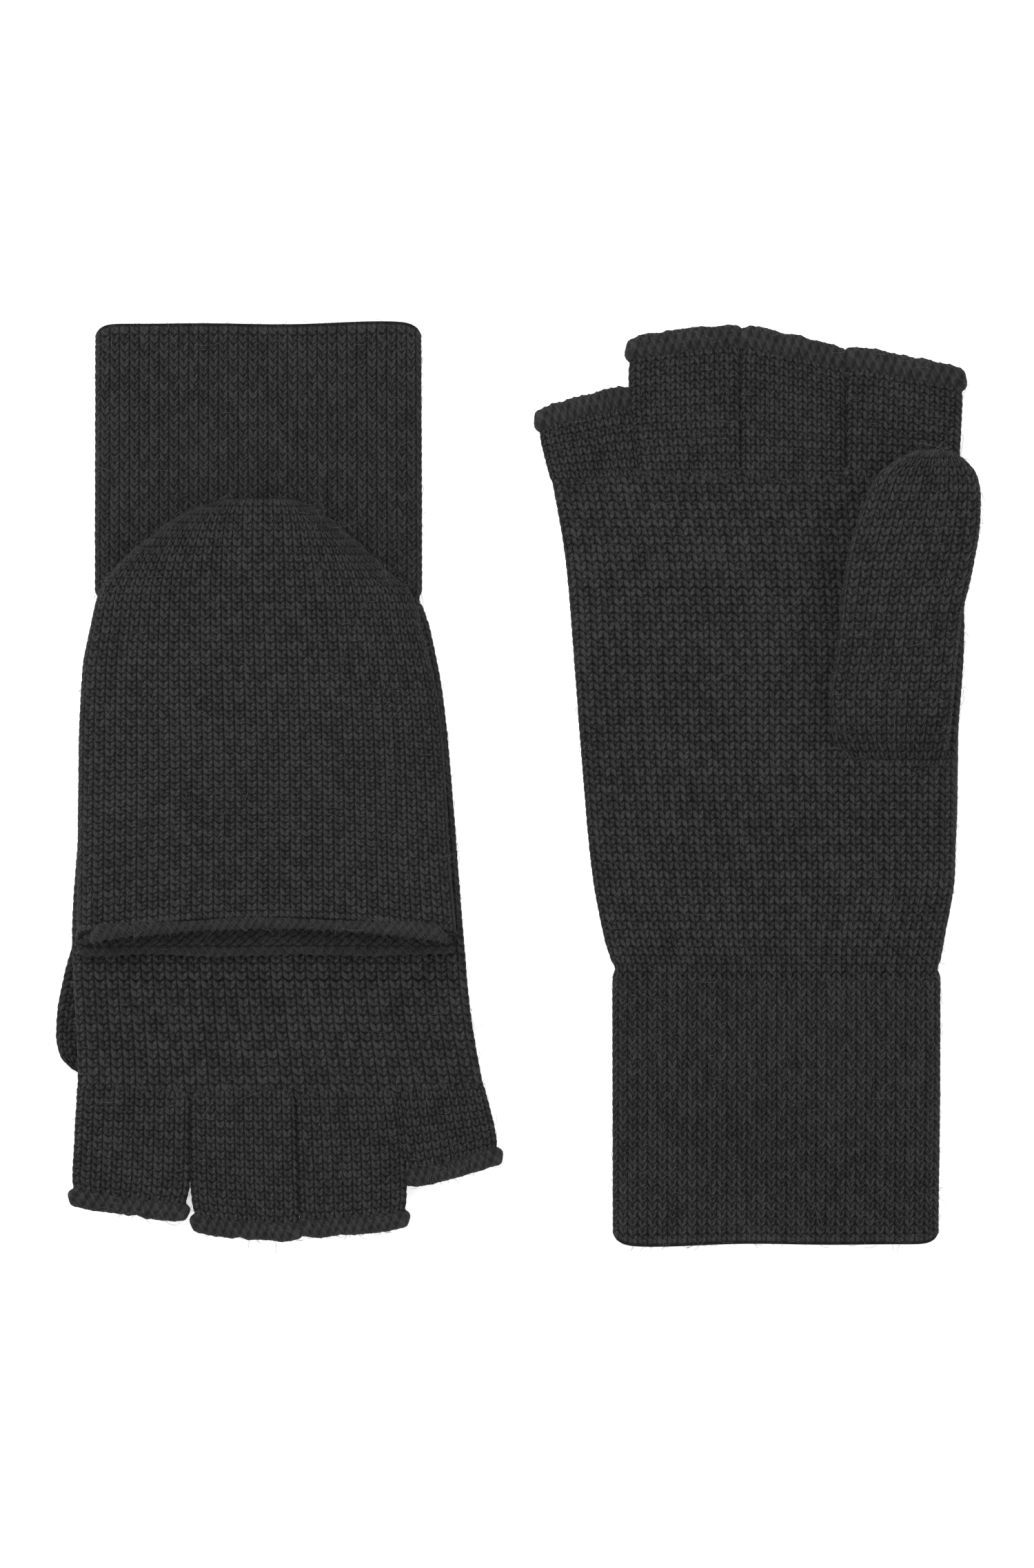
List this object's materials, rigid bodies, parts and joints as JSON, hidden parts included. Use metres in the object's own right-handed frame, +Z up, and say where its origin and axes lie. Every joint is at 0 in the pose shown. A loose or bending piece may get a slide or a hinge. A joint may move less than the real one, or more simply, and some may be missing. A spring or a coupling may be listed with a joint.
{
  "type": "convertible flip-top mittens",
  "caption": "Pair of knitted wool gloves with open rolled fingertips, closed thumbs, long ribbed cuffs and mitten caps that flip over the fingers.",
  "frame": {"origin": "middle of the underside of the pair's box, on the table that both gloves lie on", "axes": "+Z up off the table; +X across the pair, from the left glove to the right glove; +Y along the gloves, towards the left glove's cuff and the right glove's fingertips"},
  "size_m": [0.234, 0.2334, 0.0303],
  "materials": {
    "wool_plain_side": "charcoal wool, stocking stitch, right side out, soft fuzz",
    "wool_purl_side": "charcoal wool, stocking stitch seen from its bumpy side",
    "wool_rib": "charcoal wool, ribbed",
    "wool_rolled_edge": "charcoal wool, last rows rolled outwards",
    "wool_bound_edge": "charcoal wool, bound-off rope of slanted stitches"
  },
  "bodies": {
    "left_glove": {"left_cuff": "wool_rib", "left_hand_palm": "wool_plain_side", "left_hand_back": "wool_plain_side", "left_index_finger": "wool_plain_side", "left_index_edge": "wool_rolled_edge", "left_middle_finger": "wool_plain_side", "left_middle_edge": "wool_rolled_edge", "left_ring_finger": "wool_plain_side", "left_ring_edge": "wool_rolled_edge", "left_little_finger": "wool_plain_side", "left_little_edge": "wool_rolled_edge", "left_cap_seam": "wool_bound_edge"},
    "left_cap": {"left_cap_back": "wool_purl_side", "left_cap_palm": "wool_plain_side", "left_cap_hem": "wool_bound_edge"},
    "left_thumb": {"left_thumb": "wool_plain_side"},
    "right_glove": {"right_cuff": "wool_rib", "right_hand_palm": "wool_plain_side", "right_hand_back": "wool_plain_side", "right_index_finger": "wool_plain_side", "right_index_edge": "wool_rolled_edge", "right_middle_finger": "wool_plain_side", "right_middle_edge": "wool_rolled_edge", "right_ring_finger": "wool_plain_side", "right_ring_edge": "wool_rolled_edge", "right_little_finger": "wool_plain_side", "right_little_edge": "wool_rolled_edge", "right_cap_seam": "wool_bound_edge"},
    "right_cap": {"right_cap_back": "wool_purl_side", "right_cap_palm": "wool_plain_side", "right_cap_hem": "wool_bound_edge"},
    "right_thumb": {"right_thumb": "wool_plain_side"}
  },
  "joints": [
    {"name": "left_cap_flip", "type": "hinge", "parent": "left_glove", "child": "left_cap", "pos_m": [-0.06469, -0.0418, 0.01458], "axis": [0.9976, 0, -0.0698], "range_deg": [0, 180], "deforming": ["left_cap_palm", "left_cap_hem"]},
    {"name": "left_thumb_swing", "type": "hinge", "parent": "left_glove", "child": "left_thumb", "pos_m": [-0.0955, -0.0073, 0], "axis": [0, 0, -1], "range_deg": [0, 45]},
    {"name": "right_glove_apart", "type": "slide", "parent": "left_glove", "child": "right_glove", "axis": [1, 0, 0], "range_m": [0, 0.12]},
    {"name": "right_cap_flip", "type": "hinge", "parent": "right_glove", "child": "right_cap", "pos_m": [0.0655, 0.0418, 0.0101], "axis": [1, 0, 0], "range_deg": [0, 168], "deforming": ["right_cap_palm", "right_cap_hem"]},
    {"name": "right_thumb_swing", "type": "hinge", "parent": "right_glove", "child": "right_thumb", "pos_m": [0.0955, 0.0073, 0], "axis": [0, 0, -1], "range_deg": [0, 45]}
  ]
}
